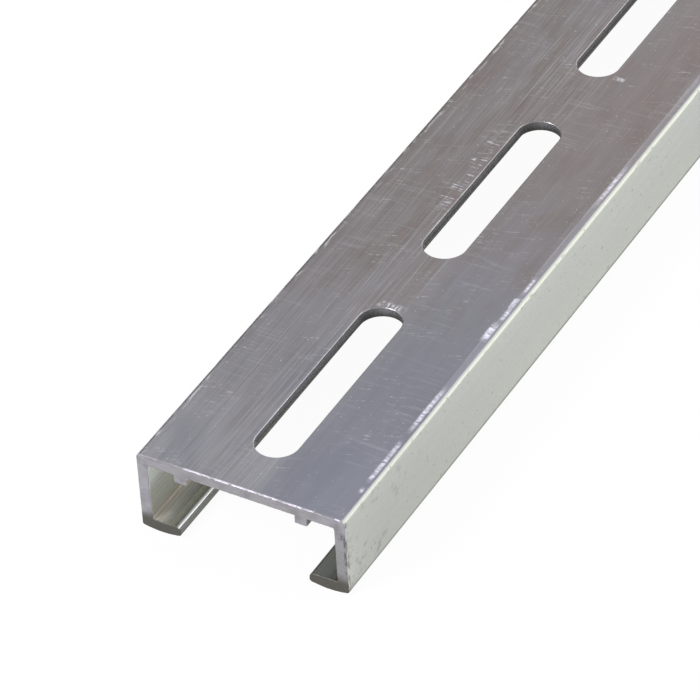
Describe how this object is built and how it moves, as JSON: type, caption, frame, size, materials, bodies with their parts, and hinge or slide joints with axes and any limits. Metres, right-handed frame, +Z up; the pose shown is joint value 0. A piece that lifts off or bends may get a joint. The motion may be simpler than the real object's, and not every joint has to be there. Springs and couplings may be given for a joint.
{
  "type": "din rail",
  "caption": "Slotted aluminium C-section mounting rail with in-turned lips, two small ribs under the web and a row of long round-ended slots.",
  "frame": {"origin": "middle of the rail's length and width, on the plane that its two lips rest on", "axes": "+X along the length of the stock, +Y across its width, +Z up to the outer face of the slotted web"},
  "size_m": [1, 0.025, 0.01],
  "materials": {
    "mill_aluminium": "satin"
  },
  "bodies": {
    "root": {"rail": "mill_aluminium"}
  },
  "joints": []
}
